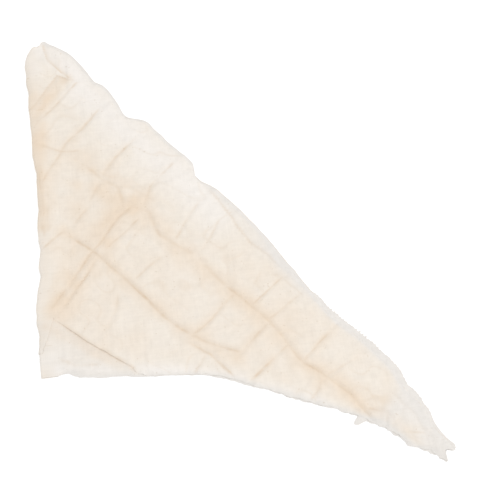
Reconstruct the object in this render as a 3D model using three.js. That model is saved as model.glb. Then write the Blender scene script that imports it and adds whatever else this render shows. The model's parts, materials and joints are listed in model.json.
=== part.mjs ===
// Arm sling: a triangular muslin bandage, folded in half twice and laid flat.
//
// The cloth is one right-angled triangle. Its first fold joins the two end corners, its second
// fold lays the point on top of them, so four plies lie over each other. From the bottom up they are
// the outer and inner point panels, then the inner and outer end panels. The second fold, called the
// half fold, runs down the left side. The two ends of the sling are the long tail at the far corner,
// which bends at two of the creases that its packing has pressed across it.
//
// Plan frame, before the sling is turned to its heading: +X runs along the long edge, from the blunt
// corner to the tail, +Y points outwards across the long edge, and +Z is up. Millimetres.

import * as THREE from "three";

// Overall lay of the cloth
const HEADING_DEG = -45.8; // direction of the long edge, from the frame's +X
const PLY = 1.2; // one ply with its crumple
const PLY_GAP = 0.8; // free height between two plies
const STEP = 4; // spacing of the outline points
const STRAIGHT = 0.02; // an outline point this close to its neighbours' line is left out

// The half fold, as a straight line along the outside of the fold
const FOLD_TOP = new THREE.Vector2(6, -11);
const FOLD_BOTTOM = new THREE.Vector2(340, -259);
const FOLD_CLEARANCE = 4; // from the turn of the fold to the edge of a panel
const FOLD_SLIT = 0.4; // between the fold and the edge of a panel
const FOLD_END_MARGIN = 10; // the fold bands stop short of the corners
// The lower legs of the fold stop inside the circle that the opening point panels sweep
const OUTER_LOWER_LEG = 1.5;
const INNER_LOWER_LEG = 3.4;
const SECTION_POINTS = 4; // fineness of a fold's rounding

// The long fold, between the two point panels
const LONG_FOLD_LEG = 1; // straight part of the fold, up to the panels
const LONG_FOLD_SLIT = 1; // measured across the long edge, so that it stays open where that edge steps
const LONG_FOLD_STEP = 12; // spacing of the points along it

// Creases that the tail bends at, and half the slit between the panels there
const TAIL_CREASE = 415;
const TIP_CREASE = 565;
const CREASE_SLIT = 0.5;
const CORNER_START = 2; // blunt corner, where the plies begin
const TAIL_END = 708;

// Outline of the whole folded sling: [along the long edge, across it]
const LONG_EDGE = [
  [0, 21], [34, 29], [88, 28], [128, 31], [158, 21], [174, 31], [213, 37], [258, 40], [276, 31],
  [305, 35], [386, 34], [434, 26], [474, 24], [588, 26], [627, 25], [649, 20], [674, 11], [710, 9],
];
const SHORT_EDGE = [
  [300, -297], [340, -259], [364, -233], [409, -185], [435, -157], [466, -126], [511, -100],
  [564, -68], [598, -48], [640, -30], [676, -22], [690, -13], [710, -9],
];
// Outer end panel's corner is tucked under itself along this line, near the square corner
const TUCKED_EDGE = [[270, -240], [290, -208], [339, -198], [405, -179], [440, -175]];
const TUCK_START = 338; // along the half fold, where the tucked edge begins

// How far each ply's edge lies inside that outline: [along the long edge, inset]
const LONG_INSETS = {
  outerEnd: [[0, 1], [268, 1], [321, 9], [371, 19], [440, 9], [600, 8], [710, 3]],
  innerEnd: [[0, 4], [268, 4], [300, 7], [440, 5], [490, 0], [710, 0]],
  pointPair: [[0, 4], [268, 4], [300, 0], [450, 0], [500, 7], [600, 8], [690, 3], [710, 3]],
};
const SHORT_INSETS = { outerEnd: 9, innerEnd: 0, innerPoint: 6, outerPoint: 2 };

const CREAM = 0xf2e8dc;
const PALE = 0xf5efe6;
const WARM = 0xebdcc8;

const stackHeight = 4 * PLY + 3 * PLY_GAP;
const plyBottom = (level) => level * (PLY + PLY_GAP);
const foldDirection = FOLD_BOTTOM.clone().sub(FOLD_TOP).normalize();
const foldInward = new THREE.Vector2(-foldDirection.y, foldDirection.x);
const foldLength = FOLD_TOP.distanceTo(FOLD_BOTTOM);
const outerFoldRadius = stackHeight / 2; // outside of the half fold, from its turning axis
const innerFoldRadius = PLY + PLY_GAP / 2;
const panelFromFold = outerFoldRadius + FOLD_CLEARANCE;
const longFoldRadius = PLY + PLY_GAP / 2;
const pointPanelInset = longFoldRadius + LONG_FOLD_LEG + LONG_FOLD_SLIT;

// A smooth line through [x, y] stations, as a function of x
function smoothLine(stations) {
  const x = stations.map((station) => station[0]);
  const y = stations.map((station) => station[1]);
  const line = new THREE.CubicInterpolant(x, y, 1);
  return (at) => line.evaluate(at)[0];
}

// Straight pieces between [x, y] stations, as a function of x
function brokenLine(stations) {
  const x = stations.map((station) => station[0]);
  const y = stations.map((station) => station[1]);
  const line = new THREE.LinearInterpolant(x, y, 1);
  return (at) => line.evaluate(at)[0];
}

const longEdge = smoothLine(LONG_EDGE);
const shortEdge = smoothLine(SHORT_EDGE);
const tuckedEdge = brokenLine(TUCKED_EDGE);
const longInset = Object.fromEntries(
  Object.entries(LONG_INSETS).map(([name, stations]) => [name, brokenLine(stations)]),
);

// The half fold's line moved inwards, as a function of the place along the long edge
function foldEdge(along, inset) {
  const slope = foldDirection.y / foldDirection.x;
  return FOLD_TOP.y + (along - FOLD_TOP.x) * slope + inset / foldDirection.x;
}

function cloth(name, geometry, color) {
  const material = new THREE.MeshStandardMaterial({ color, roughness: 0.95, metalness: 0 });
  const mesh = new THREE.Mesh(geometry, material);
  mesh.name = name;
  return mesh;
}

// A closed outline without the points that lie on a straight run
function cornersOf(outline) {
  const kept = [];
  outline.forEach((point, i) => {
    const before = kept.at(-1) ?? outline.at(-1);
    const after = outline[(i + 1) % outline.length];
    const run = after.clone().sub(before);
    const offLine = Math.abs(run.cross(point.clone().sub(before))) / run.length();
    if (offLine > STRAIGHT) kept.push(point);
  });
  return kept;
}

// One flat panel of a ply, between two places along the long edge
function panel(name, ply, from, to) {
  const upper = (at) => longEdge(at) - longInset[ply.long](at) - ply.inset;
  const lower = (at) => {
    const cut = Math.max(foldEdge(at, panelFromFold), shortEdge(at) + SHORT_INSETS[ply.short]);
    return ply.tucked ? Math.max(cut, tuckedEdge(at)) : cut;
  };
  const count = Math.ceil((to - from) / STEP);
  const along = Array.from({ length: count + 1 }, (_, i) => from + ((to - from) * i) / count);
  const outline = [
    ...along.map((at) => new THREE.Vector2(at, lower(at))),
    ...along.reverse().map((at) => new THREE.Vector2(at, upper(at))),
  ];
  const shape = new THREE.Shape(cornersOf(outline));
  const geometry = new THREE.ExtrudeGeometry(shape, { depth: PLY, bevelEnabled: false });
  const mesh = cloth(name, geometry, ply.color);
  mesh.position.z = plyBottom(ply.level);
  return mesh;
}

// Hairpin section of a folded ply: X runs into the cloth, Y is up, the turn is centred on 0, 0
function hairpin(outerRadius, upperLeg, lowerLeg) {
  const innerRadius = outerRadius - PLY;
  const shape = new THREE.Shape();
  shape.moveTo(upperLeg, outerRadius);
  shape.absarc(0, 0, outerRadius, Math.PI / 2, (3 * Math.PI) / 2, false);
  shape.lineTo(lowerLeg, -outerRadius);
  shape.lineTo(lowerLeg, -innerRadius);
  shape.absarc(0, 0, innerRadius, (3 * Math.PI) / 2, Math.PI / 2, true);
  shape.lineTo(upperLeg, innerRadius);
  shape.closePath();
  return shape;
}

// The half fold of one pair of plies, from start to end along the fold
function halfFoldBand(name, outerRadius, lowerLeg, start, end, color) {
  const section = hairpin(outerRadius, FOLD_CLEARANCE - FOLD_SLIT, lowerLeg);
  const geometry = new THREE.ExtrudeGeometry(section, {
    depth: end - start,
    bevelEnabled: false,
    curveSegments: SECTION_POINTS,
  });
  const inward = new THREE.Vector3(foldInward.x, foldInward.y, 0);
  const down = new THREE.Vector3(foldDirection.x, foldDirection.y, 0);
  const up = new THREE.Vector3(0, 0, 1);
  geometry.applyMatrix4(new THREE.Matrix4().makeBasis(inward, up, down));
  const mesh = cloth(name, geometry, color);
  const axis = FOLD_TOP.clone().addScaledVector(foldInward, outerFoldRadius);
  axis.addScaledVector(foldDirection, start);
  mesh.position.set(axis.x, axis.y, stackHeight / 2);
  return mesh;
}

// The first fold, which joins the two point panels along the long edge
function longFoldBand(name, start, end, color) {
  const radius = longFoldRadius;
  const path = [];
  for (let at = start; at <= end; at += LONG_FOLD_STEP) {
    const y = longEdge(at) - longInset.pointPair(at) - radius;
    path.push(new THREE.Vector3(at, y, plyBottom(0) + radius));
  }
  // A swept section's X points down and its Y points outwards, across the long edge
  const points = hairpin(radius, LONG_FOLD_LEG, LONG_FOLD_LEG).getPoints(SECTION_POINTS);
  const section = new THREE.Shape(points.map((p) => new THREE.Vector2(-p.y, -p.x)).reverse());
  const geometry = new THREE.ExtrudeGeometry(section, {
    extrudePath: new THREE.CatmullRomCurve3(path),
    steps: path.length - 1,
    bevelEnabled: false,
  });
  return cloth(name, geometry, color);
}

// The four plies, from the bottom up
const plies = {
  outerPoint: { level: 0, long: "pointPair", short: "outerPoint", inset: pointPanelInset, color: WARM },
  innerPoint: { level: 1, long: "pointPair", short: "innerPoint", inset: pointPanelInset, color: PALE },
  innerEnd: { level: 2, long: "innerEnd", short: "innerEnd", inset: 0, color: PALE },
  outerEnd: { level: 3, long: "outerEnd", short: "outerEnd", inset: 0, color: CREAM, tucked: true },
};

const sling = new THREE.Group();
for (const [name, ply] of [["outer_end", plies.outerEnd], ["inner_end", plies.innerEnd]]) {
  sling.add(panel(`${name}_panel`, ply, CORNER_START, TAIL_CREASE - CREASE_SLIT));
  sling.add(panel(`${name}_tail`, ply, TAIL_CREASE + CREASE_SLIT, TIP_CREASE - CREASE_SLIT));
  sling.add(panel(`${name}_tip`, ply, TIP_CREASE + CREASE_SLIT, TAIL_END));
}
sling.add(panel("inner_point_panel", plies.innerPoint, CORNER_START, TAIL_END));
sling.add(panel("outer_point_panel", plies.outerPoint, CORNER_START, TAIL_END));
sling.add(longFoldBand("long_fold", CORNER_START + FOLD_END_MARGIN, TAIL_END - FOLD_END_MARGIN, WARM));

const foldFrom = FOLD_END_MARGIN;
const foldTo = foldLength - FOLD_END_MARGIN;
sling.add(halfFoldBand("outer_half_fold", outerFoldRadius, OUTER_LOWER_LEG, foldFrom, TUCK_START, CREAM));
sling.add(halfFoldBand("inner_half_fold", innerFoldRadius, INNER_LOWER_LEG, foldFrom, foldTo, PALE));

// Turn to the heading, then put the origin under the middle of the bounding box
sling.rotation.z = THREE.MathUtils.degToRad(HEADING_DEG);
const box = new THREE.Box3().setFromObject(sling, true);
const middle = box.getCenter(new THREE.Vector3());
sling.position.set(-middle.x, -middle.y, -box.min.z);

export default sling;
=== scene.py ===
"""Looks of the folded arm sling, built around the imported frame.

The sling is one sheet of muslin in four plies. The sheet is laid out in a plan frame, whose first
coordinate runs along the sling's long edge from the blunt corner to the tail and whose second one
runs outwards across that edge. All four plies share one relief, so that they nest. The sheet's
normals are found before it is cut at the joints, so that the cuts don't show.
"""

import json
import math

import bpy
import numpy as np
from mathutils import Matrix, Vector


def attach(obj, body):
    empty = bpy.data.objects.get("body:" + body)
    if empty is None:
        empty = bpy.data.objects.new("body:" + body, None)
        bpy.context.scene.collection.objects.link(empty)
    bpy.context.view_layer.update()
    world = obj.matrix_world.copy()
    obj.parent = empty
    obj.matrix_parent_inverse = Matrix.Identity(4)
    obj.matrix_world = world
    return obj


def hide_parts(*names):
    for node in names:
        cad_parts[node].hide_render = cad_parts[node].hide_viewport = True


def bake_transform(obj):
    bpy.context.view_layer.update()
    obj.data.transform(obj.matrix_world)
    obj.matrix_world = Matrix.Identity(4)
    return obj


MM = 0.001
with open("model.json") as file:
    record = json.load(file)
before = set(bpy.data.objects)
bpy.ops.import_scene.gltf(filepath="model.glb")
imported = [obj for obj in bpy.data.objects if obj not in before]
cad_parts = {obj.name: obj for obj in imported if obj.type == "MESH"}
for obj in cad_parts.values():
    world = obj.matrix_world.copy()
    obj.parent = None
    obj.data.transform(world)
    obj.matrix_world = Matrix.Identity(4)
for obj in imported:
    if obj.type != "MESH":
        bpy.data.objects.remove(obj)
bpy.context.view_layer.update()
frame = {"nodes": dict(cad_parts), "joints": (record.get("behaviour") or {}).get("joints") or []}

# ---- Plan frame, from the joints ----

JOINTS = {joint["name"]: joint for joint in frame["joints"]}
TAIL_JOINT_PLAN = np.array([415.0, -70.0]) * MM  # where the tail crease's joint lies in the plan

across = -np.array(JOINTS["tail_crease"]["axis"][:2])
across /= np.linalg.norm(across)
along = np.array([across[1], -across[0]])
tail_joint = np.array(JOINTS["tail_crease"]["pos_m"])
tip_joint = np.array(JOINTS["tip_crease"]["pos_m"])
fold_joint = np.array(JOINTS["half_fold"]["pos_m"])
plan_origin = tail_joint[:2] - TAIL_JOINT_PLAN[0] * along - TAIL_JOINT_PLAN[1] * across


def to_plan(points):
    offset = np.asarray(points)[..., :2] - plan_origin
    return np.stack([offset @ along, offset @ across], -1)


def to_row(plan):
    return plan_origin + plan[..., :1] * along + plan[..., 1:2] * across


# The half fold's axis in the plan: down from the blunt corner, and inwards from the fold
fold_down = to_plan(plan_origin - np.array(JOINTS["half_fold"]["axis"][:2]))
fold_down /= np.linalg.norm(fold_down)
fold_inward = np.array([-fold_down[1], fold_down[0]])
fold_point = to_plan(fold_joint)
TAIL_CREASE = to_plan(tail_joint)[0]
TIP_CREASE = to_plan(tip_joint)[0]


def from_fold(u, w):
    """Distance inwards from the half fold's axis, and distance down along it."""
    du, dw = u - fold_point[0], w - fold_point[1]
    inward = du * fold_inward[0] + dw * fold_inward[1]
    down = du * fold_down[0] + dw * fold_down[1]
    return inward, down


def smooth(x, low, high):
    """0 below the low limit, 1 above the high one, and a soft ramp between them."""
    t = np.clip((x - low) / (high - low), 0, 1)
    return t * t * (3 - 2 * t)


def ramp(x, low, high):
    """The same, with its limits in mm."""
    return smooth(x, low * MM, high * MM)


def between(x, rise, fall):
    """1 on a stretch and 0 outside it. Each of its ends is a ramp, in mm."""
    return ramp(x, *rise) * (1 - ramp(x, *fall))


def bell(x, width):
    return np.exp(-((x / width) ** 2))


def through(stations, x):
    """Value at x on straight lines through [place, value] stations, in mm."""
    return np.interp(x, *(np.array(stations).T * MM))


# ---- Random fields, all seeded ----

LATTICE = 256  # random values along each side of a field
LATTICE_SHIFT = 90.5  # where the plan's origin falls in a field


def blended(grid, i, j, fx, fy):
    """Value of a grid at the shares fx and fy of the way to its next points."""
    next_i, next_j = (i + 1) % grid.shape[0], (j + 1) % grid.shape[1]
    low = grid[i, j] * (1 - fx) + grid[next_i, j] * fx
    high = grid[i, next_j] * (1 - fx) + grid[next_i, next_j] * fx
    return low * (1 - fy) + high * fy


def noise(u, w, size, seed):
    """Smooth random field of about -1 to 1, with features of the given size in mm."""
    lattice = np.random.RandomState(seed).uniform(-1, 1, (LATTICE, LATTICE))
    x = np.asarray(u) / (size * MM) + LATTICE_SHIFT
    y = np.asarray(w) / (size * MM) + LATTICE_SHIFT
    i, j = np.floor(x).astype(int), np.floor(y).astype(int)
    return blended(lattice, i % LATTICE, j % LATTICE, smooth(x - i, 0, 1), smooth(y - j, 0, 1))


def turned_noise(u, w, size, seed, angle, stretch):
    """The same, drawn out along a direction."""
    c, s = math.cos(angle), math.sin(angle)
    return noise((u * c + w * s) / stretch, w * c - u * s, size, seed)


def line_noise(x, size, seed):
    """The same, along one coordinate."""
    return noise(x, np.zeros_like(x), size, seed)


# ---- Pressed creases ----

# Each has its depth and breadth in mm, points along it in the plan, in mm, and its kind if it isn't a
# valley. A valley is pressed in, a ridge stands up, and a step drops from its line's left to its right.
CREASES = [
    # along the long edge
    (1.7, 4.5, [(221, -130), (265, -121), (320, -117), (383, -116), (420, -109)]),
    (1.2, 4.0, [(420, -109), (440, -100), (470, -82)]),
    (1.0, 4.0, [(424, -117), (450, -108), (485, -107)]),
    (0.7, 6.0, [(156, -58), (200, -53), (222, -46), (244, -57)]),
    (1.0, 6.5, [(244, -57), (271, -42), (303, -52), (349, -40), (403, -40)]),
    (2.0, 4.2, [(403, -40), (468, -35), (529, -42)]),
    (2.6, 3.8, [(529, -42), (560, -33), (587, -29), (611, -32), (628, -34)]),
    # across the long edge
    (2.4, 3.2, [(286, -203), (274, -158), (264, -124), (260, -100), (252, -72), (252, -50)]),
    (1.3, 2.6, [(290, -198), (279, -160), (269, -120), (264, -90), (261, -58)], "ridge"),
    (2.4, 3.0, [(297, -202), (288, -172), (283, -152), (275, -128)]),
    (1.5, 3.0, [(275, -128), (271, -105), (271, -78), (269, -56)]),
    (0.9, 2.4, [(279, -124), (277, -100), (277, -72)], "ridge"),
    (0.9, 4.0, [(262, -44), (248, -16), (243, 22)]),
    (1.3, 4.0, [(221, -166), (221, -130)]),
    (0.9, 4.2, [(211, -80), (195, -43), (190, -23), (186, 16)]),
    (0.9, 3.8, [(155, -106), (144, -79), (134, -54), (132, -26), (125, 7)]),
    (0.8, 4.0, [(323, -109), (323, -84), (324, -69)]),
    (0.9, 3.5, [(215, -84), (223, -115)]),
    (0.6, 4.0, [(325, -136), (337, -149), (347, -179)]),
    (0.9, 3.5, [(303, 8), (309, -12), (319, -42)]),
    (0.6, 3.5, [(336, 12), (346, -10), (351, -30)]),
    (1.2, 3.5, [(415, -38), (420, -79), (420, -108)]),
    (1.2, 3.0, [(440, -34), (440, 14)]),
    (1.3, 3.5, [(467, -38), (472, -92)]),
    (0.8, 3.5, [(465, -34), (468, 12)]),
    (1.2, 3.5, [(502, -38), (502, -98)]),
    (1.3, 3.0, [(527, -40), (523, -10), (522, 24)]),
    (0.9, 3.5, [(556, -32), (565, 6)]),
    (1.0, 3.0, [(396, 23), (418, 20), (438, 24)]),
    (0.9, 3.0, [(428, 6), (446, 18)]),
    # fine lines, most of them ridges
    (0.6, 2.2, [(357, -130), (384, -151), (413, -174)], "ridge"),
    (0.5, 2.0, [(358, -141), (384, -160), (404, -177)], "ridge"),
    (0.8, 2.6, [(395, -18), (417, -13)], "ridge"),
    (0.8, 2.4, [(455, -10), (469, -6)], "ridge"),
    (0.7, 2.2, [(482, -8), (500, -6)], "ridge"),
    (0.7, 2.5, [(442, 13), (471, 13)]),
    # folds near the half fold
    (0.9, 4.0, [(137, -98), (182, -128), (214, -152)]),
    (0.8, 4.0, [(106, -80), (137, -65), (152, -47)]),
    (0.8, 4.0, [(337, -232), (354, -225), (371, -204)]),
    # short folds near the short edge
    (0.8, 3.5, [(555, -39), (563, -60)]),
    (1.0, 3.5, [(445, -112), (453, -138)]),
    (0.8, 3.0, [(562, -66), (560, -48)]),
    # folded flaps near the blunt corner
    (1.3, 2.0, [(69, 11), (41, 7), (26, 6), (8, 14), (0, 20)], "step"),
    (1.6, 2.3, [(68, -54), (57, -20), (51, 2), (69, 11)], "step"),
    (1.2, 3.0, [(90, -66), (85, -41), (80, -12), (77, 12)]),
    # fine folds along the half fold
    (1.0, 3.2, [(139, -102), (178, -129), (205, -148)]),
    (0.9, 3.0, [(163, -104), (182, -122), (208, -142)]),
    (0.8, 2.6, [(152, -104), (180, -126)], "ridge"),
    # gathers in the tail
    (2.1, 3.6, [(614, -27), (628, -19), (640, -15)]),
    (1.6, 3.6, [(630, -15), (636, -23), (642, -30)]),
    (0.8, 3.0, [(648, -28), (644, -20), (644, -10), (639, 3)]),
    (0.8, 3.0, [(618, 10), (623, 4), (639, 3), (654, 5), (671, -1), (681, -8)]),
    (0.8, 3.0, [(676, -20), (683, -7), (688, 5)]),
    (0.8, 2.6, [(672, -2), (680, -14)], "ridge"),
    (1.0, 4.0, [(602, -28), (606, 10)], "ridge"),
    (0.7, 3.2, [(652, -26), (672, -4), (690, 2)]),
    (1.0, 3.0, [(640, 12), (668, 2), (700, 6)], "ridge"),
    (0.6, 3.2, [(660, -20), (684, -12), (706, -8)]),
]
PRESSED_SHARE = 0.5  # of a crease's depth; the rest is lost as the cloth springs back
BREADTH_SHARE = 0.55  # of its breadth, from its line to where most of its depth is gone
FADED_REACH = 12 * MM  # added to the distance from a crease where it has faded out


def line_distance(u, w, points):
    """Distance to a line, the side of it (1 on the left), and the place along it, 0 to 1."""
    points = np.array(points, float) * MM
    best = np.full(np.shape(u), 1e9)
    side, place = np.zeros_like(best), np.zeros_like(best)
    lengths = np.linalg.norm(np.diff(points, axis=0), axis=1)
    total, run = lengths.sum(), 0.0
    for a, b, length in zip(points[:-1], points[1:], lengths):
        d = (b - a) / length
        t = np.clip((u - a[0]) * d[0] + (w - a[1]) * d[1], 0, length)
        x, y = u - a[0] - t * d[0], w - a[1] - t * d[1]
        distance = np.hypot(x, y)
        nearer = distance < best
        best = np.where(nearer, distance, best)
        side = np.where(nearer, np.sign(d[0] * y - d[1] * x), side)
        place = np.where(nearer, (run + t) / total, place)
        run += length
    return best, side, place


def crease_relief(u, w):
    """Height of the pressed creases, the painted shade along each, and the distance to the nearest one.
    """
    # A pressed line is never quite straight, nor quite even
    u = u + 1.0 * MM * noise(u, w, 24, 3) + 0.35 * MM * noise(u, w, 6, 5)
    w = w + 1.0 * MM * noise(u, w, 24, 4) + 0.35 * MM * noise(u, w, 6, 6)
    height, painted_shade, nearest = np.zeros_like(u), np.zeros_like(u), np.full_like(u, 1.0)
    for number, (depth, breadth, points, *kind) in enumerate(CREASES):
        distance, side, place = line_distance(u, w, points)
        fade = smooth(place, -0.08, 0.1) * smooth(1.08 - place, 0, 0.18)
        x = distance / (BREADTH_SHARE * breadth * MM)
        patchy = 0.68 + 0.6 * noise(u, w, 16, 20 + number) + 0.3 * noise(u, w, 5, 70 + number)
        if "step" in kind:
            shape = side * np.exp(-x / 8) * (1 - np.exp(-3.5 * x))
            height += PRESSED_SHARE * depth * MM * fade * shape
            # Painted shadow on the step's low side
            low_side = np.where(side < 0, np.exp(-x / 2.5), np.exp(-4 * x))
            painted_shade = np.maximum(painted_shade, 0.8 * fade * low_side)
        else:
            sign = 1 if "ridge" in kind else -1
            ridge_side = np.where(side > 0, 0.5, 0.15)
            shape = np.exp(-(x**1.5)) - ridge_side * bell(x - 2.1, 0.8)
            height += PRESSED_SHARE * sign * depth * MM * fade * shape * (0.4 + 0.6 * patchy)
            # Painted shade along a valley's line; ridges get none
            line = bell(x, 0.5) + 0.3 * bell(x, 1.8)
            strength = min(1, depth / 1.4) * fade * np.clip(patchy, 0, 1.2)
            painted_shade = np.maximum(painted_shade, strength * np.clip(line, 0, 1) * ("ridge" not in kind))
        nearest = np.minimum(nearest, distance + (1 - np.clip(fade, 0, 1)) * FADED_REACH)
    return height, painted_shade, nearest


# ---- Outline of each ply, from its CAD nodes ----

PLIES = ["outer_point", "inner_point", "inner_end", "outer_end"]  # from the bottom up
COLUMN = 1.5 * MM  # a third of the pitch of the pinked teeth
# Spacing of each ply's points across the long edge, mm; the top ply shows, so it is the finest
ROWS = {"outer_point": 3.0, "inner_point": 3.2, "inner_end": 3.0, "outer_end": 1.6}
STRIP_START = 12 * MM  # the fold strips begin this far inside the half fold's axis


def plan_edges(names):
    ends = []
    for name in names:
        mesh = frame["nodes"][name].data
        plan = to_plan(np.array([v.co for v in mesh.vertices]))
        ends.append(plan[np.array([e.vertices for e in mesh.edges])])
    return np.concatenate(ends)


def edge_lines(names, columns):
    """Lowest and highest point across the nodes at each column; not a number where there is none."""
    ends = plan_edges(names)
    first, second = ends[:, 0], ends[:, 1]
    low, high = np.full(len(columns), np.nan), np.full(len(columns), np.nan)
    for i, u in enumerate(columns):
        hit = (first[:, 0] - u) * (second[:, 0] - u) < 0
        if hit.any():
            a, b = first[hit], second[hit]
            w = a[:, 1] + (u - a[:, 0]) / (b[:, 0] - a[:, 0]) * (b[:, 1] - a[:, 1])
            low[i], high[i] = w.min(), w.max()
    return low, high


def bridged(values):
    """Fills the gaps, and the slits at the tail's creases, from both sides."""
    at_slit = np.minimum(abs(columns - TAIL_CREASE), abs(columns - TIP_CREASE)) < 1.2 * MM
    known = ~np.isnan(values) & ~at_slit
    return np.interp(columns, columns[known], values[known])


panel_u = plan_edges(["outer_point_panel"])[..., 0]
CORNER_SPARE = 5 * MM  # the blunt corner's ragged end reaches this far past the panels
columns = np.arange(panel_u.min() - CORNER_SPARE, panel_u.max(), COLUMN)
fold_side = fold_point[1] + (columns - fold_point[0]) * fold_down[1] / fold_down[0]
fold_side += STRIP_START / fold_down[0]
long_fold_high = edge_lines(["long_fold"], columns)[1]

low_edge, high_edge = {}, {}
for ply in PLIES:
    parts = ["_panel"] if ply.endswith("point") else ["_panel", "_tail", "_tip"]
    low, high = [bridged(line) for line in edge_lines([ply + part for part in parts], columns)]
    if ply.endswith("point"):
        high = np.fmax(high, long_fold_high - 0.6 * MM)
    low_edge[ply], high_edge[ply] = low, high

# A column whose lower end lies on the half fold is joined to its partner ply by a fold strip
on_fold = {ply: low_edge[ply] < fold_side + 0.3 * MM for ply in PLIES}
on_fold["inner_point"] = on_fold["inner_end"]
TUCK_END = 412 * MM  # the top ply's corner is tucked under from the half fold to here
CURL_LENGTH = 32 * MM  # the outer strip runs on past the top ply's tucked edge, and ends in a curl
top_ply_leaves = columns[on_fold["outer_end"]].max()
outer_strip = on_fold["outer_point"] & (columns < top_ply_leaves + CURL_LENGTH)
inner_strip = on_fold["inner_end"] & on_fold["inner_point"]


# How far the long edge swells past its CAD outline: [along the long edge, outwards], mm
LONG_EDGE_SWELL = [
    (0, 4), (40, 6), (75, 5), (90, 2), (100, 5), (115, 4), (130, 1), (150, 5), (163, 8), (180, 8),
    (200, 3), (240, 0), (270, 2), (290, 2), (380, 2), (430, 4), (480, 5), (520, 2), (545, 6),
    (600, 5.5), (625, -1), (655, 3), (690, 2),
]
TOOTH = 1.3  # mm, how far a pinked tooth's point stands out
TAB_LENGTH = 10 * MM


def frayed_edges():
    """Pinked teeth, ravelled edges and the small tab, on top of the CAD outline."""
    swell = through(LONG_EDGE_SWELL, columns)
    tooth = np.cos(2 * math.pi / 3 * np.arange(len(columns))) * TOOTH
    pinked = between(columns, (455, 480), (655, 670))
    for number, ply in enumerate(PLIES):
        ravel = line_noise(columns, 3, 60 + number) * 0.7 + line_noise(columns, 9, 70 + number)
        short = 2.2 * MM * bell(columns - 510 * MM, 40 * MM)
        if ply == "outer_end":  # its tucked edge is a fold, so it doesn't ravel
            ravel = np.where(columns < TUCK_END, 0.25 * ravel, ravel)
            short = short - 8 * MM * smooth(columns, TUCK_END - 16 * MM, TUCK_END + 8 * MM)
        else:
            short += 7 * MM * bell(columns - 354 * MM, 9 * MM)
        frayed = (1.2 + 0.9 * ramp(columns, 480, 540)) * MM
        low_edge[ply] += np.where(on_fold[ply], 0, frayed * ravel + short)
        wave = line_noise(columns, 14, 80 + number)
        high_edge[ply] += swell
        if ply == "inner_end":
            uneven = np.clip(0.55 + 1.1 * line_noise(columns, 9, 84), 0, 1.3)
            high_edge[ply] += pinked * (uneven * tooth + 0.9 * ravel) * MM + 1.2 * MM * wave
        elif ply == "outer_end":
            high_edge[ply] += ramp(columns, 285, 300) * 0.7 * MM * tooth + 2 * MM * wave
        else:
            high_edge[ply] += 0.5 * MM * wave
    low_edge["inner_end"] -= TAB_LENGTH * between(columns, (610, 613), (617, 621))


frayed_edges()
for ply in PLIES:
    low_edge[ply] = np.where(on_fold[ply], fold_side, low_edge[ply])


def edges_at(ply, u):
    """The ply's lower and upper edge, at places along the long edge."""
    return np.interp(u, columns, low_edge[ply]), np.interp(u, columns, high_edge[ply])


def folded_at(ply, u):
    """1 where the ply's lower edge lies on the half fold, 0 where it is free."""
    return np.interp(u, columns, on_fold[ply].astype(float))


def cover(ply, u, w, soft=1.5 * MM):
    """1 where the ply covers the place, 0 where it doesn't."""
    low, high = edges_at(ply, u)
    low = low - folded_at(ply, u) * 20 * MM  # on past the fold's turn
    return smooth(w, low - soft, low + soft) * (1 - smooth(w, high - soft, high + soft))


def ply_share(u, w):
    """Share of the four plies that cover the place."""
    return sum(cover(name, u, w, 5 * MM) for name in PLIES) / 4


# ---- Relief shared by the plies ----

RELIEF = 3.3 * MM  # height from the lowest to the highest place of one ply
REST = 0.25 * MM  # underside of the bottom ply
PLY_RISE = 0.86 * MM  # from one ply to the next
# Height of each ply where it meets the half fold, mm
FOLD_LEVELS = {"outer_point": 0.65, "inner_point": 2.1, "inner_end": 5.1, "outer_end": 6.55}


# The cloth simulation, run on a flat sheet at ten times its real size
SIM_SCALE = 10.0
SIM_CELL = 3.6 * MM
SIM_FRAMES = 26
SIM_GROWTH = 0.014  # share by which the cloth is longer than the flat sheet, so that it puckers
SIM_ACROSS = np.arange(-24 * MM, 424 * MM, SIM_CELL)  # its grid, inwards from the half fold
SIM_DOWN = np.arange(-150 * MM, 560 * MM, SIM_CELL)  # and down it
SIM_TABLE = 8.0  # reach of the table under it, in the simulation's own size
PILLOW_SHARE = 0.7  # of the settled cloth's height that the relief takes


def add_mesh(name, points, faces):
    """A new object in the scene."""
    mesh = bpy.data.meshes.new(name)
    mesh.from_pydata(points, [], faces)
    made = bpy.data.objects.new(name, mesh)
    bpy.context.scene.collection.objects.link(made)
    return made


def add_square(name, reach):
    corners = [(-reach, -reach, 0), (reach, -reach, 0), (reach, reach, 0), (-reach, reach, 0)]
    return add_mesh(name, corners, [(0, 1, 2, 3)])


def near_sling(u, w):
    """Whether a place lies on the sling, or close to it."""
    low = np.interp(u, columns, np.fmin(low_edge["outer_point"], low_edge["inner_end"]))
    high = np.interp(u, columns, np.fmax(high_edge["outer_point"], high_edge["inner_end"]))
    spare = 10 * MM
    return (w > low - spare) & (w < high + spare) & (u > -spare) & (u < columns[-1] + spare)


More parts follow.
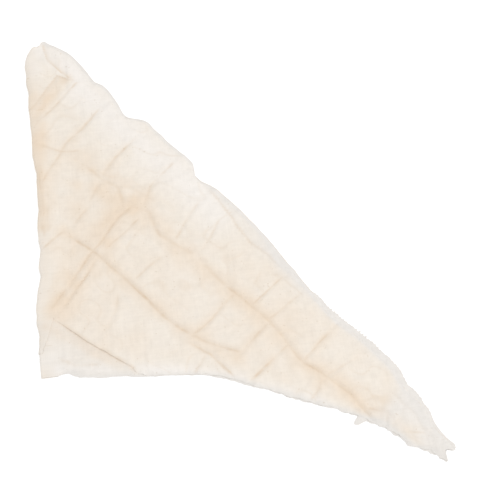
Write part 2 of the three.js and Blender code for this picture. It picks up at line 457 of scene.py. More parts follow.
def simulated_pillows():
    """Height that a slightly too large cloth takes up when its pressed creases are held down."""
    x, y = np.meshgrid(SIM_ACROSS, SIM_DOWN, indexing="ij")
    u, w = [fold_point[k] + x * fold_inward[k] + y * fold_down[k] for k in (0, 1)]
    inside = near_sling(u, w)
    nearest = crease_relief(u, w)[2]
    number = np.cumsum(inside.ravel()).reshape(inside.shape) - 1
    z = 0.3 * MM * noise(u, w, 14, 33) + 0.6 * MM
    z = np.where(nearest < 3 * MM, 0.2 * MM, z)
    vertices = np.stack([x, y, z], -1)[inside] * SIM_SCALE
    whole = inside[:-1, :-1] & inside[1:, :-1] & inside[1:, 1:] & inside[:-1, 1:]
    i, j = np.nonzero(whole)
    faces = np.stack([number[i, j], number[i + 1, j], number[i + 1, j + 1], number[i, j + 1]], -1)
    settling = add_mesh("settling", vertices.tolist(), faces.tolist())
    group = settling.vertex_groups.new(name="pressed")
    held = np.flatnonzero((nearest < 0.62 * SIM_CELL)[inside])
    group.add([int(v) for v in held], 1.0, "REPLACE")

    table = add_square("settling_table", SIM_TABLE)
    table.modifiers.new("Collision", "COLLISION")
    table.collision.thickness_outer = 0.001

    cloth = settling.modifiers.new("Cloth", "CLOTH")
    settings = cloth.settings
    settings.quality = 6
    settings.mass = 0.15
    settings.tension_stiffness = 20
    settings.compression_stiffness = 20
    settings.shear_stiffness = 6
    settings.bending_stiffness = 0.6
    settings.air_damping = 2
    settings.vertex_group_mass = "pressed"
    settings.pin_stiffness = 1
    settings.shrink_min = -SIM_GROWTH
    settings.effector_weights.gravity = 0.25
    cloth.collision_settings.distance_min = 0.001
    cloth.collision_settings.use_self_collision = False
    cloth.point_cache.frame_start = 1
    cloth.point_cache.frame_end = SIM_FRAMES
    scene = bpy.context.scene
    for step in range(1, SIM_FRAMES + 1):
        scene.frame_set(step)
    settled = settling.evaluated_get(bpy.context.evaluated_depsgraph_get())
    height = np.array([v.co.z for v in settled.data.vertices]) / SIM_SCALE
    scene.frame_set(1)
    for helper in (settling, table):
        bpy.data.objects.remove(helper)
    grid = np.zeros(inside.shape)
    grid[inside] = np.clip(height, 0, 6 * MM)
    return grid


def sampled(grid, u, w):
    """Height of the settled cloth at places in the plan."""
    inward, down = from_fold(u, w)
    x = np.clip((inward - SIM_ACROSS[0]) / SIM_CELL, 0, len(SIM_ACROSS) - 1.001)
    y = np.clip((down - SIM_DOWN[0]) / SIM_CELL, 0, len(SIM_DOWN) - 1.001)
    i, j = x.astype(int), y.astype(int)
    return blended(grid, i, j, x - i, y - j)


settled_cloth = simulated_pillows()


def made_relief(u, w):
    """Relief of the cloth, with its pillows, wrinkles and creases, and the painted shade in its creases
    and faint wrinkles.
    """
    crease, painted_shade, nearest = crease_relief(u, w)
    if settled_cloth is None:
        pillow = 1.5 * MM * (1 - np.exp(-nearest / (15 * MM)))
    else:
        pillow = PILLOW_SHARE * sampled(settled_cloth, u, w)
    slow = 0.5 * MM * noise(u, w, 70, 7) + 0.35 * MM * noise(u, w, 33, 8)
    fine = 0.2 * MM * turned_noise(u, w, 11, 9, 0.9, 2.2)
    fine += 0.2 * MM * turned_noise(u, w, 12, 10, -0.6, 2.4) + 0.12 * MM * noise(u, w, 5, 11)
    wrinkles = np.abs(turned_noise(u, w, 17, 12, 0.2, 1.4))  # its zero lines are faint creases
    fine += 0.5 * MM * wrinkles + 0.34 * MM * np.abs(turned_noise(u, w, 8, 13, 1.7, 1.6))
    gathered = ramp(u, 430, 620)  # the tail is more crumpled
    knotted = ramp(u, 585, 630)  # and most of all near its end
    gathers = np.abs(turned_noise(u, w, 10, 14, 0.6, 1.8))
    fine += (0.6 * gathered + 0.9 * knotted) * MM * gathers
    fine += 0.5 * MM * gathered * turned_noise(u, w, 9, 15, -0.35, 2.6)
    # Painted shade along the faint wrinkles and, most of all, among the tail's gathers, in patches
    wrinkle_shade_share = np.clip(0.5 + noise(u, w, 30, 46), 0, 1)
    faint = 0.26 * bell(wrinkles, 0.09) + 0.62 * knotted * bell(gathers, 0.16)
    return crease + pillow + slow + fine, np.maximum(painted_shade, wrinkle_shade_share * faint)


def settle_relief(height):
    """Keeps the relief between 0 and its full height, with soft limits."""
    middle = 1.0 * MM
    x = (height - middle) / (RELIEF / 2)
    return RELIEF / 2 * (1 + np.tanh(x * 0.9))


# How far each ply sinks at the half fold's blunt and square ends, where the cloth lies flatter, mm
BLUNT_END_SINK = {"outer_point": 0, "inner_point": 0.1, "inner_end": 1.6, "outer_end": 1.7}
SQUARE_END_SINK = {"outer_point": 0, "inner_point": -0.1, "inner_end": 1.4, "outer_end": 0.85}


def at_blunt_end(down):
    """1 at the half fold's blunt end, 0 on the rest of it."""
    return ramp(-down, 185, 222)


def at_square_end(down):
    return ramp(down, 150, 190)


def fold_level(ply, down):
    """Height of the ply beside the half fold."""
    sunk = BLUNT_END_SINK[ply] * at_blunt_end(down) + SQUARE_END_SINK[ply] * at_square_end(down)
    if ply == "outer_end":  # sinks to the next ply before its tucked corner
        sunk = sunk + 1.05 * ramp(down, 90, 140)
    return (FOLD_LEVELS[ply] - sunk) * MM


def surface(ply, u, w):
    """Height of the ply's middle surface, and the painted shade in its creases."""
    height, painted_shade = made_relief(u, w)
    inward, down = from_fold(u, w)
    at_end = np.maximum(at_blunt_end(down), at_square_end(down))
    free = ramp(inward, 9 - 5 * at_end, 34 - 18 * at_end)
    support = sum((cover(name, u, w) for name in PLIES[: PLIES.index(ply)]), 0 * u)
    relief = settle_relief(height)
    loose = REST + PLY_RISE * support + relief - edge_droop(ply, u, w) + tuck_lift(ply, u, w)
    tight = fold_level(ply, down) + 0.12 * (relief - RELIEF / 2)
    return loose * free + tight * (1 - free), painted_shade


TUCK_LIFT = 0.7 * MM  # the tucked edge is a soft roll


def tucked_at(u, fade):
    """1 along the top ply's tucked edge, which fades out over the given length."""
    begins = smooth(u, top_ply_leaves, top_ply_leaves + 20 * MM)
    return begins * (1 - smooth(u, TUCK_END - fade, TUCK_END))


def tuck_lift(ply, u, w):
    if ply != "outer_end":
        return 0 * u
    to_edge = np.maximum(w - edges_at(ply, u)[0], 0)
    return TUCK_LIFT * tucked_at(u, 40 * MM) * np.exp(-to_edge / (7 * MM))


def edge_droop(ply, u, w):
    """An upper ply's raw edge sinks towards the ply beneath it."""
    if ply.endswith("point"):
        return 0 * u
    low, high = edges_at(ply, u)
    to_edge = np.minimum(np.where(folded_at(ply, u) < 0.5, w - low, 1.0), high - w)
    most = 0.32 if ply == "outer_end" else 0.48
    most = np.where(u > TUCK_END, 0.57, most)
    return most * MM * (1 - smooth(to_edge, 0, 7 * MM))


# ---- The sheet: points, faces and marks ----

TINY = 1e-30


class Sheet:
    """Points with their marks and their lay of threads, and faces by region. A region is one piece."""

    def __init__(self):
        self.points, self.marks, self.lay = [], [], []
        self.faces = {}

    def add(self, points, marks, lay):
        first = sum(len(block) for block in self.points)
        self.points.append(points)
        self.marks.append(marks)
        self.lay.append(lay)
        return first

    def point(self, number):
        for block in self.points:
            if number < len(block):
                return block[number]
            number -= len(block)

    def face(self, region, corners, outwards=True):
        corners = corners if outwards else corners[::-1]
        self.faces.setdefault(region, []).append(tuple(int(c) for c in corners))

    def face_rows(self, region, rows, outwards=True):
        """Quads between neighbouring rows of points."""
        for a, b in zip(rows, rows[1:]):
            for i in range(len(a) - 1):
                self.face(region, (a[i], b[i], b[i + 1], a[i + 1]), outwards)

    def close(self):
        """Joins the blocks of points, and finds the whole sheet's normals."""
        self.points = np.concatenate(self.points)
        self.marks = np.concatenate(self.marks)
        self.lay = np.concatenate(self.lay)
        self.normals = np.zeros_like(self.points)
        for faces in self.faces.values():
            for size in (3, 4):
                block = np.array([f for f in faces if len(f) == size])
                if len(block):
                    p = self.points[block]
                    across_face = np.cross(p[:, 2] - p[:, 0], p[:, -1] - p[:, 1])
                    for corner in range(size):
                        np.add.at(self.normals, block[:, corner], across_face)
        lengths = np.linalg.norm(self.normals, axis=1)[:, None]
        self.normals /= np.maximum(lengths, TINY)  # a point without faces keeps a normal of 0


# Broad bands where the cloth's colour is warmer and darker, partly its own tone and partly painted
# shade along creases, beside the folded flaps and below the tucked edge: [reach mm, strength, points in
# the plan, mm]
WARM_AND_SHADE_BANDS = [
    (16, 0.75, [(60, -42), (140, -98), (190, -136)]),
    (11, 0.7, [(270, -186), (292, -202)]),
    (17, 0.6, [(156, -58), (222, -46), (271, -42), (318, -50), (403, -40)]),
    (15, 0.85, [(403, -40), (468, -38), (529, -42), (566, -33), (632, -32)]),
    (24, 1.0, [(286, -196), (264, -118), (250, -78), (252, -48)]),
    (20, 0.85, [(206, -62), (236, -58), (270, -58)]),
    (13, 0.6, [(221, -130), (265, -121), (343, -117), (418, -109), (470, -90)]),
    (12, 0.5, [(153, -106), (147, -78), (131, -28)]),
    (12, 0.5, [(211, -80), (194, -35), (192, -5)]),
    (9, 0.45, [(415, -38), (420, -108)]),
    (9, 0.45, [(467, -38), (472, -92)]),
    (9, 0.4, [(502, -38), (502, -96)]),
    (9, 0.4, [(527, -40), (523, 15)]),
    (9, 1.0, [(80, -56), (70, -28), (64, 2)]),
    (16, 0.5, [(188, -78), (228, -110)]),
    (10, 0.9, [(95, -58), (151, -106), (200, -142)]),
    (7, 0.9, [(297, -219), (339, -205), (380, -193), (408, -184)]),
    (8, 0.7, [(618, -24), (640, -16), (655, -14)]),
]


def warmth_and_shade(u, w):
    """How warm the cloth's colour is, 0 to 1: its own uneven tone, with painted shade in the bands."""
    warm = 0.12 + 0.12 * noise(u, w, 45, 40)
    for reach, strength, points in WARM_AND_SHADE_BANDS:
        band = bell(line_distance(u, w, points)[0], reach * MM)
        warm = np.maximum(warm, strength * band * (0.85 + 0.3 * noise(u, w, 12, 41)))
    return np.clip(warm, 0, 1)


# Bands where it is whiter: [reach mm, strength, points in the plan, mm]
PALE_BANDS = [
    (20, 0.7, [(8, 12), (40, 22), (75, 22)]),
    (27, 0.7, [(90, 12), (130, 16), (185, 14), (262, 20), (330, 16)]),
    (10, 0.7, [(345, -240), (385, -200), (430, -158), (480, -116), (540, -82), (600, -50)]),
    (16, 0.5, [(4, -8), (26, -14)]),
    (14, 0.5, [(640, 2), (700, 2)]),
    (14, 0.4, [(325, -243), (345, -222)]),
    (11, 0.45, [(212, -163), (236, -181), (256, -196), (282, -216)]),
]
PALE_WEIGHT = 1.2  # of a pale band against a warm one


def paleness(u, w):
    pale = np.zeros(np.shape(u))
    for reach, strength, points in PALE_BANDS:
        pale = np.maximum(pale, strength * bell(line_distance(u, w, points)[0], reach * MM))
    return pale


def tone(u, w):
    """How warm the colour is, with the painted shade of the warm bands, or, below 0, how pale."""
    return warmth_and_shade(u, w) - PALE_WEIGHT * paleness(u, w)


def edge_shadow(u, w):
    """Painted shadow along the top ply's tucked edge, and along its long edge where it lies back."""
    low, high = edges_at("outer_end", u)
    tucked_line = 0.7 * tucked_at(u, 12 * MM) * bell(w - low, 2.6 * MM)
    set_back_line = 0.6 * between(u, (295, 320), (400, 440)) * bell(w - high, 1.8 * MM)
    return np.maximum(tucked_line, set_back_line) * (0.8 + 0.4 * noise(u, w, 9, 44))


def thinness_and_shade(u, w):
    """How thin the cloth looks at the tail's long edge and its end, where the plies lie apart; at the
    end it also stands for painted shade among the gathers.
    """
    to_edge = edges_at("inner_end", u)[1] - w
    along_edge = 0.45 * ramp(u, 370, 430) * bell(to_edge, 13 * MM)
    return along_edge + 0.32 * ramp(u, 596, 640) * (1 + 0.8 * noise(u, w, 16, 45))


def marks_at(u, w, painted_shade):
    """Painted shade in the cloth's creases and along its edges, its thickness as a share of the four
    plies, less thinness and painted shade at the tail's end, and its tone.
    """
    plies = ply_share(u, w) - thinness_and_shade(u, w)
    return np.stack([np.maximum(painted_shade, edge_shadow(u, w)), plies, tone(u, w)], -1)


LAY_SHIFT = 0.31  # gives each ply threads of its own


def lay_at(ply, u, w):
    """Thread coordinates: one set of threads runs down the half fold, the other across it."""
    inward, down = from_fold(u, w)
    shift = LAY_SHIFT * PLIES.index(ply)
    return np.stack([inward + shift, down + shift, np.full(np.shape(u), shift)], -1)


# Outline of the blunt corner's end and of the tail's end: [across the long edge, along it], mm
CORNER_END = [
    (-16, 9), (-12, 4), (-8, 0), (-3, -3), (6, -4), (9, -2), (11, 2), (15, 1), (20, -3), (26, 1),
]
CORNER_ROUNDING = 3 * MM
TAIL_TIP = [(-14, 711), (-8, 712), (-5, 707), (-1, 701), (2, 703), (5, 708), (9, 709), (13, 702)]


def ragged_ends(u, w, ply):
    """Shapes the lobes at both ends, each ply a little differently."""
    seed = PLIES.index(ply)
    ravel = 1.2 * MM * line_noise(w, 4, 90 + seed)
    shift = 1.5 * MM * line_noise(w, 15, 97 + seed)
    inside = u - through(CORNER_END, w) - 0.5 * ravel
    squeezed = CORNER_ROUNDING * np.exp(np.minimum(inside / CORNER_ROUNDING - 1, 0))
    u = u + np.where(inside < CORNER_ROUNDING, squeezed - inside, 0)
    tip = through(TAIL_TIP, w) - columns[-1] + ravel - abs(shift)
    return np.stack([u + tip * smooth(u, 676 * MM, columns[-1]), w], -1)


def region_of(ply, i):
    """Name of the region that a column's faces belong to."""
    if ply.endswith("point"):
        return ply + "_ply"
    return ply + "_" + next((part for limit, part in TAIL_CUTS if i < limit), "tip")


def cut_columns(crease, before, after):
    """The columns that a bend at the crease lies between."""
    return [int(np.searchsorted(columns, place)) for place in (crease - before, crease + after)]


# Length of cloth that bends before and after each crease. Most of it is after, so that it doesn't dip
TAIL_BEND = (3 * MM, 8 * MM)
TIP_BEND = (2.5 * MM, 5 * MM)
tail_from, tail_to = cut_columns(TAIL_CREASE, *TAIL_BEND)
tip_from, tip_to = cut_columns(TIP_CREASE, *TIP_BEND)
# An end ply's regions before its tip: [column that it ends at, region]
TAIL_CUTS = [(tail_from, "ply"), (tail_to, "tail_bend"), (tip_from, "tail"), (tip_to, "tip_bend")]


# The top ply's corner is tucked under itself: [back under the ply, down], mm, from the hidden end
TUCK = [(4.6, 1.15), (2.4, 1.1), (0.7, 0.8), (-0.1, 0.3)]
TUCK_STEP = 0.7 * MM


def column_rows(ply, u, low, high):
    """Places across the ply at one column. Rows before the lower end belong to the tuck."""
    row = ROWS[ply] * MM
    first, last = math.ceil((low + 0.4 * row) / row), math.floor((high - 0.4 * row) / row)
    inner = np.arange(first, last + 1) * row
    tucked = ply == "outer_end" and top_ply_leaves < u < TUCK_END
    hem = low - TUCK_STEP * np.arange(len(TUCK), 0, -1) if tucked else []
    return np.concatenate([hem, [low], inner, [high]])


def add_ply(ply, up):
    """One ply's grid. Returns the point numbers of each column, from its lower end to its upper one."""
    rows = [column_rows(ply, *place) for place in zip(columns, low_edge[ply], high_edge[ply])]
    lengths = [len(places) for places in rows]
    u, low = np.repeat(columns, lengths), np.repeat(low_edge[ply], lengths)
    w = np.concatenate(rows)
    hem = np.round((low - w) / TUCK_STEP).astype(int).clip(0, len(TUCK))
    back, drop = np.array([(0, 0)] + TUCK[::-1])[hem].T * MM
    real_w = np.where(hem > 0, low + back, w)
    z, painted_shade = surface(ply, u, real_w)
    points = np.concatenate([to_row(ragged_ends(u, real_w, ply)), (z - drop)[:, None]], -1)
    first = sheet.add(points, marks_at(u, real_w, painted_shade), lay_at(ply, u, w))
    ends = first + np.cumsum([0] + lengths)
    numbers = [np.arange(a, b) for a, b in zip(ends[:-1], ends[1:])]
    for i in range(len(rows) - 1):
        zip_columns(region_of(ply, i), numbers[i], numbers[i + 1], rows[i], rows[i + 1], up)
    return numbers


ROW_MATCH = 0.6 * MM  # rows this close in neighbouring columns are joined by a quad


def zip_columns(region, left, right, left_w, right_w, up):
    """Fills the space between two columns with quads where rows agree and triangles elsewhere."""

    def agree(a, b, most):
        return abs(left_w[a] - right_w[b]) < most

    a = b = 0
    while a < len(left) - 1 or b < len(right) - 1:
        can_both = a < len(left) - 1 and b < len(right) - 1
        if can_both and agree(a + 1, b + 1, ROW_MATCH) and agree(a, b, ROW_MATCH * 3):
            corners = (left[a], right[b], right[b + 1], left[a + 1])
            a, b = a + 1, b + 1
        elif b == len(right) - 1 or (can_both and left_w[a + 1] < right_w[b + 1]):
            corners = (left[a], right[b], left[a + 1])
            a += 1
        else:
            corners = (left[a], right[b], right[b + 1])
            b += 1
        sheet.face(region, corners, up)


# How far the turn lies inside the half fold's axis: [distance down the fold, inwards], mm
FOLD_BOW = [
    (-230, 8), (-216, 0.6), (-206, -3), (-190, -2), (-170, -2), (-156, 0.4), (-138, -1), (-112, 0.5),
    (-94, 1.6), (-70, 0.8), (-48, 4.2), (4, 4.4), (21, 1.8), (56, 3.8), (76, 1.1), (88, 3.2),
    (102, -0.8), (126, -4.8), (146, -5.5), (160, -2.4), (182, -5.6), (210, -4.4),
]

FOLD_ROUNDING = 2.4  # the turn's reach, as a multiple of half its height
FOLD_TURNS = 16  # rows of quads round the turn
FOLD_FLATS = 3  # and on each flat side of it


def add_fold_strip(side, joined, outwards):
    """The cloth that turns round the half fold, from an upper ply's lower ends to a lower ply's.

    Past the end of the upper ply the strip's free edge curls back towards the fold.
    """
    upper, lower = side + "_end", side + "_point"
    chosen = np.flatnonzero(joined)
    attached = on_fold[upper][chosen]
    u, w = columns[chosen], fold_side[chosen]
    inward, down = from_fold(u, w)
    turn = through(FOLD_BOW, down) + 0.6 * MM * line_noise(down, 12, 51)
    past = u - u[attached].max()
    high, low = fold_level(upper, down), fold_level(lower, down)
    middle, radius = (high + low) / 2, (high - low) / 2
    wide = FOLD_ROUNDING * radius  # the turn is an oval that lies on its side
    centre = turn - radius + wide
    start = np.where(attached, inward, inward + (turn - inward) * past / (CURL_LENGTH + COLUMN))
    first_upper = np.array([ply_points[upper][i][0] for i in chosen])
    first_lower = np.array([ply_points[lower][i][0] for i in chosen])
    top = np.where(attached, [sheet.point(number)[2] for number in first_upper], high)
    bottom = np.array([sheet.point(number)[2] for number in first_lower])

    def flat(k, reach, z, turn_z):
        """A row between a ply and the turn: its reach and height, and how far along it is."""
        t = k / FOLD_FLATS
        return reach + (centre - reach) * t, z + (turn_z - z) * smooth(t, 0, 1), t

    rows = [flat(k, start, top, high) for k in range(FOLD_FLATS + 1)]
    for k in range(1, FOLD_TURNS):
        angle = math.pi * k / FOLD_TURNS
        uneven = noise(down, 0 * down + k * 1.4 * MM, 6, 57)
        crumple = wide + 0.35 * MM * math.sin(angle) * uneven
        rows.append((centre - crumple * math.sin(angle), middle + radius * math.cos(angle), 1))
    rows += [flat(k, inward, bottom, low) for k in range(FOLD_FLATS, 0, -1)]
    chain = []
    for k, (reach, z, turned) in enumerate(rows):
        plan = np.stack([u, w], -1) + (reach - inward)[:, None] * fold_inward
        shaped = ragged_ends(plan[:, 0], plan[:, 1], upper)
        points = np.concatenate([to_row(shaped), z[:, None]], -1)
        lay = lay_at(upper, u, w) - np.array([0.8 * k * MM, 0, 0])
        painted_shade = crease_relief(plan[:, 0], plan[:, 1])[1]
        # Painted shade round the half fold's turn, where the cloth rounds away from the light
        pressed = 0.15 + 0.2 * line_noise(down, 20, 58)
        marks = [np.maximum(painted_shade, pressed * turned), ply_share(u, w), tone(plan[:, 0], plan[:, 1])]
        first = sheet.add(points, np.stack(marks, -1), lay)
        numbers = np.arange(first, first + len(chosen))
        chain.append(np.where(attached, first_upper, numbers) if k == 0 else numbers)
    sheet.face_rows(side + "_fold_strip", chain + [first_lower], outwards)


LONG_FOLD_TURNS = 5  # rows of quads round the long fold
LONG_FOLD_BULGE = 0.9 * MM
LONG_FOLD_MARKS = (0.1, 0.7, 0.3)  # painted crease shade, thickness and tone


def add_long_fold():
    """The small turn that joins the two point plies along the long edge."""
    last_lower, last_upper = [
        np.array([numbers[-1] for numbers in ply_points[ply]]) for ply in ("outer_point", "inner_point")
    ]
    lower = np.array([sheet.point(number) for number in last_lower])
    upper = np.array([sheet.point(number) for number in last_upper])
    middle, half = (lower + upper) / 2, (upper - lower) / 2
    outward = np.append(across, 0)
    lay = lay_at("outer_point", columns, high_edge["outer_point"])
    chain = [last_lower]
    for k in range(1, LONG_FOLD_TURNS):
        angle = math.pi * (k / LONG_FOLD_TURNS - 0.5)
        points = middle + half * math.sin(angle) + outward * math.cos(angle) * LONG_FOLD_BULGE
        first = sheet.add(points, np.tile(LONG_FOLD_MARKS, (len(columns), 1)), lay)
        chain.append(np.arange(first, first + len(columns)))
    sheet.face_rows("long_fold_strip", chain + [last_upper])


sheet = Sheet()
# The sheet's outer side looks up on one ply and down on the next, as it turns over at each fold
turned_up = {"outer_end": True, "outer_point": False, "inner_point": True, "inner_end": False}
ply_points = {ply: add_ply(ply, up) for ply, up in turned_up.items()}
add_fold_strip("outer", outer_strip, True)
add_fold_strip("inner", inner_strip, False)
add_long_fold()
sheet.close()

# ---- Pieces ----

HALF_THICKNESS = 0.13 * MM  # of the cloth


def shell_piece(name, region, slot):
    """A closed thin shell from a region of the sheet, shaded with the whole sheet's normals."""
    faces = sheet.faces[region]
    used = np.unique(np.concatenate([np.array(face) for face in faces]))
    renumber = {number: i for i, number in enumerate(used)}
    faces = [tuple(renumber[c] for c in face) for face in faces]
    points, normals = sheet.points[used], sheet.normals[used]
    count = len(used)
    edges = {}
    for face in faces:
        for a, b in zip(face, face[1:] + face[:1]):
            if (b, a) in edges:
                del edges[(b, a)]
            else:
                edges[(a, b)] = True
    under = [tuple(c + count for c in reversed(face)) for face in faces]
    walls = [(b, a, a + count, b + count) for a, b in edges]
    skins = np.concatenate([points + normals * HALF_THICKNESS, points - normals * HALF_THICKNESS])
    piece = add_mesh(name, skins.tolist(), faces + under + walls)
    mesh = piece.data
    mesh.polygons.foreach_set("use_smooth", [True] * len(mesh.polygons))
    set_normals(mesh, normals, len(faces) + len(under))
    for attribute, values in (("marks", sheet.marks[used]), ("lay", sheet.lay[used])):
        stored = mesh.attributes.new(attribute, "FLOAT_VECTOR", "POINT")
        stored.data.foreach_set("vector", np.concatenate([values, values]).astype(np.float32).ravel())
    mesh.materials.append(MATERIALS[slot])
    return piece


def set_normals(mesh, normals, flat_from):
    """Outer and inner skins take the sheet's normals; the thin walls keep their own."""
    both = np.concatenate([normals, -normals])
    corner_vertex = np.zeros(len(mesh.loops), int)
    mesh.loops.foreach_get("vertex_index", corner_vertex)
    custom = both[corner_vertex]
    for polygon in mesh.polygons[flat_from:]:
        custom[polygon.loop_start : polygon.loop_start + polygon.loop_total] = polygon.normal
    mesh.normals_split_custom_set(custom.tolist())


# ---- Muslin ----


class Graph:
    """A new material, and short names for building its nodes."""

    def __init__(self, name):
        self.material = bpy.data.materials.new(name)
        self.material.use_nodes = True
        self.tree = self.material.node_tree

    def surface(self, inputs):
        for name, value in inputs.items():
            self.feed(self.tree.nodes["Principled BSDF"].inputs[name], value)

    def node(self, kind, settings=None, **inputs):
        node = self.tree.nodes.new(kind)
        for key, value in (settings or {}).items():
            setattr(node, key, value)
        for key, value in inputs.items():
            self.feed(node.inputs[key.replace("_", " ")], value)
        return node

    def feed(self, socket, value):
        if isinstance(value, bpy.types.NodeSocket):
            self.tree.links.new(value, socket)
        else:
            socket.default_value = value

    def maths(self, operation, *values):
        node = self.node("ShaderNodeMath", {"operation": operation})
        for socket, value in zip(node.inputs, values):
            self.feed(socket, value)
        return node.outputs[0]

    def plus(self, total, part, weight):
        return self.maths("ADD", total, self.maths("MULTIPLY", part, weight))

    def attribute(self, name):
        return self.node("ShaderNodeAttribute", {"attribute_name": name}).outputs["Vector"]

    def split(self, vector):
        return self.node("ShaderNodeSeparateXYZ", Vector=vector).outputs

    def mix(self, share, a, b, blend="MIX"):
        node = self.node("ShaderNodeMix", {"data_type": "RGBA", "blend_type": blend})
        self.feed(node.inputs[0], share)
        self.feed(node.inputs[6], a)
        self.feed(node.inputs[7], b)
        return node.outputs[2]

    def range(self, value, low, high, to_low=0.0, to_high=1.0):
        node = self.node("ShaderNodeMapRange")
        for socket, number in zip(node.inputs, (value, low, high, to_low, to_high)):
            self.feed(socket, number)
        return node.outputs[0]

    def noise(self, vector, scale, detail=2.0, rough=0.5):
        inputs = {"Vector": vector, "Scale": scale, "Detail": detail, "Roughness": rough}
        return self.node("ShaderNodeTexNoise", **inputs).outputs[0]

    def threads(self, vector, scale_across, scale_down, detail=1.0):
        """Noise with its own scale across the half fold and down it."""
        node = self.node("ShaderNodeVectorMath", {"operation": "MULTIPLY"})
        self.feed(node.inputs[0], vector)
        self.feed(node.inputs[1], (scale_across, scale_down, 1.0))
        return self.noise(node.outputs[0], 1.0, detail)


WARP_PITCH = 0.62 * MM
WEFT_PITCH = 0.72 * MM
PANEL_COLOUR = (0.858, 0.788, 0.703, 1)
# The cloth's own warmer tone, and painted shade in the warm bands
WARM_COLOUR = (0.83, 0.70, 0.565, 1)
# Painted shade in the creases, along the tucked and set-back edges and round the folds
PAINTED_SHADE_COLOUR = (0.715, 0.58, 0.445, 1)
PALE_COLOUR = (0.90, 0.862, 0.825, 1)
# Greyer where fewer plies lie; at the tail's end also painted shade among the gathers
THIN_AND_SHADED_COLOUR = (0.80, 0.765, 0.725, 1)
SEED_COLOUR = (0.50, 0.37, 0.23, 1)


def muslin(name):
    """Unbleached plain weave, with slubs and seed flecks, and painted shade, warmer and darker, in the
    creases and along the edges. The lay is in metres.
    """
    g = Graph(name)
    lay = g.attribute("lay")
    crease, plies, warm = g.split(g.attribute("marks"))
    thread = g.split(lay)

    # Threads run a little unevenly
    sway = g.noise(lay, 60.0, 1.0)
    x = g.plus(thread[0], sway, 0.9 * MM)
    y = g.plus(thread[1], sway, 0.9 * MM)
    warp = g.maths("SINE", g.maths("MULTIPLY", x, 2 * math.pi / WARP_PITCH))
    weft = g.maths("SINE", g.maths("MULTIPLY", y, 2 * math.pi / WEFT_PITCH))
    weave = g.maths("MULTIPLY", warp, weft)
    gap = g.maths("MULTIPLY", g.maths("ABSOLUTE", warp), g.maths("ABSOLUTE", weft))

    # Slubs are thicker stretches of single threads
    warp_slub = g.threads(lay, 1100.0, 26.0)
    weft_slub = g.threads(lay, 22.0, 950.0)
    slub = g.maths("SUBTRACT", g.maths("MAXIMUM", warp_slub, weft_slub), 0.5)
    streak = g.threads(lay, 420.0, 14.0, 2.0)
    cross_streak = g.threads(lay, 12.0, 380.0, 2.0)
    thin = g.maths("SUBTRACT", g.maths("ADD", streak, cross_streak), 1.0)

    large = g.noise(lay, 26.0, 2.0)
    small = g.noise(lay, 140.0, 3.0, 0.6)
    fluff = g.noise(lay, 900.0, 2.0, 0.6)
    flecks = g.noise(lay, 420.0, 0.0)
    rare = g.noise(lay, 70.0, 0.0)
    seed = g.maths("MULTIPLY", g.range(flecks, 0.76, 0.82), g.range(rare, 0.50, 0.60))

    warm_share = g.maths("ADD", warm, g.range(large, 0.3, 0.7, -0.18, 0.18))
    colour = g.mix(warm_share, PANEL_COLOUR, WARM_COLOUR)
    colour = g.mix(g.maths("MULTIPLY", warm, -1.0), colour, PALE_COLOUR)
    # Painted shade in the creases, along the edges and round the folds, made uneven
    ragged = g.maths("MULTIPLY", crease, g.range(small, 0.3, 0.7, 0.55, 1.0))
    colour = g.mix(ragged, colour, PAINTED_SHADE_COLOUR)
    # Fewer plies, and painted shade at the tail's end, make the colour greyer
    thickness = g.range(plies, 0.35, 0.95)
    colour = g.mix(thickness, THIN_AND_SHADED_COLOUR, colour)
    value = g.range(small, 0.25, 0.75, 0.965, 1.03)
    for part, weight in ((thin, 0.055), (slub, 0.06), (gap, 0.03)):
        value = g.plus(value, part, weight)
    colour = g.mix(1.0, colour, value, "MULTIPLY")
    colour = g.mix(g.maths("MULTIPLY", seed, 0.22), colour, SEED_COLOUR)

    height = g.maths("MULTIPLY", weave, 0.05)
    for part, weight in ((slub, 0.4), (thin, 0.3), (small, 0.9), (fluff, 0.25)):
        height = g.plus(height, part, weight)
    bump = g.node("ShaderNodeBump", Strength=0.55, Distance=0.5 * MM, Height=height)
    g.surface({
        "Base Color": colour,
        "Roughness": g.range(fluff, 0.3, 0.7, 0.84, 0.97),
        "Specular IOR Level": 0.2,
        "Sheen Weight": 0.12,
        "Sheen Roughness": 0.6,
        "Normal": bump.outputs[0],
    })
    return g.material


MATERIALS = {name: muslin(name) for name in ("outer_muslin", "inner_muslin", "folded_muslin")}


def panel_piece(name, region, slot, node, body):
    """A piece that rides on one body and stands for one CAD node."""
    piece = shell_piece(name, region, slot)
    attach(piece, body)
    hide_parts(node)


def tail_bend_piece(name, slot):
    """A piece at a crease between two bodies, from one column to another, left on no body."""
    piece = shell_piece(name + "_crease", name + "_bend", slot)
    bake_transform(piece)


def fold_piece(side):
    """The outer or inner piece round the half fold, which bends from its top to its bottom."""
    piece = shell_piece(side + "_half_fold_cloth", side + "_fold_strip", "folded_muslin")
    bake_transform(piece)
    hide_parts(side + "_half_fold")


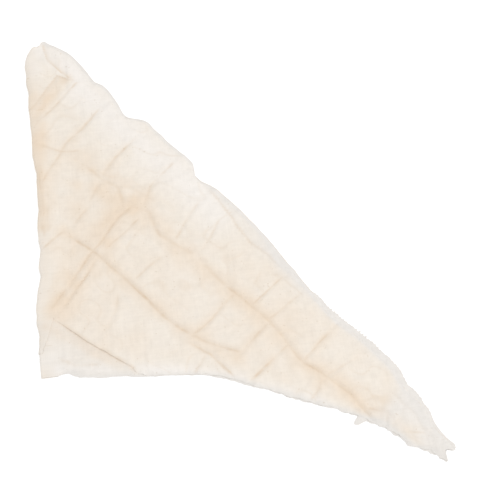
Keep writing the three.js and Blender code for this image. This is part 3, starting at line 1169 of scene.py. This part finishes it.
for side in ("outer", "inner"):
    end, slot = side + "_end", side + "_muslin"
    panel_piece(end + "_cloth", end + "_ply", slot, end + "_panel", "ends_half")
    panel_piece(end + "_tail_cloth", end + "_tail", slot, end + "_tail", "tie_ends")
    panel_piece(end + "_tip_cloth", end + "_tip", slot, end + "_tip", "tie_tips")
    tail_bend_piece(end + "_tail", slot)
    tail_bend_piece(end + "_tip", slot)
for side in ("inner", "outer"):
    point = side + "_point"
    panel_piece(point + "_cloth", point + "_ply", side + "_muslin", point + "_panel", "point_half")
panel_piece("long_fold_cloth", "long_fold_strip", "folded_muslin", "long_fold", "point_half")
for side in ("outer", "inner"):
    fold_piece(side)

# ---- Stage ----

FLOOR_REACH = 6.0
FLOOR_GLOW = 0.22  # a lit table, so that shadows stay pale
WORLD_STRENGTH = 0.655
KEY_PLACE = Vector((1.3, -0.2, 4.3))
KEY_SIZE = 1.8
KEY_POWER = 84
CAMERA_LENS = 70  # mm
CAMERA_ELEVATION = math.radians(67.5)
CAMERA_DISTANCE = 1.129
CAMERA_TARGET = Vector((0.0301, -0.0211, 0.003))


def make_floor():
    g = Graph("floor")
    g.surface({
        "Base Color": (0.95, 0.95, 0.95, 1),
        "Roughness": 1.0,
        "Specular IOR Level": 0.0,
        "Emission Color": (1, 1, 1, 1),
        "Emission Strength": FLOOR_GLOW,
    })
    floor = add_square("floor", FLOOR_REACH)
    floor.data.materials.append(g.material)


def light_and_camera():
    scene = bpy.context.scene
    world = bpy.data.worlds.new("studio")
    world.use_nodes = True
    background = world.node_tree.nodes["Background"].inputs
    background["Color"].default_value = (1, 1, 1, 1)
    background["Strength"].default_value = WORLD_STRENGTH
    scene.world = world

    light = bpy.data.lights.new("key", "AREA")
    light.size = KEY_SIZE
    light.energy = KEY_POWER
    lamp = bpy.data.objects.new("key", light)
    lamp.location = KEY_PLACE
    lamp.rotation_euler = (-KEY_PLACE).to_track_quat("-Z", "Y").to_euler()
    scene.collection.objects.link(lamp)
    scene.view_settings.view_transform = "Standard"

    camera = bpy.data.cameras.new("camera")
    camera.lens = CAMERA_LENS
    eye = bpy.data.objects.new("camera", camera)
    back = Vector((0, -math.cos(CAMERA_ELEVATION), math.sin(CAMERA_ELEVATION)))
    eye.location = CAMERA_TARGET + back * CAMERA_DISTANCE
    eye.rotation_euler = (-back).to_track_quat("-Z", "Y").to_euler()
    scene.collection.objects.link(eye)
    scene.camera = eye


make_floor()
light_and_camera()
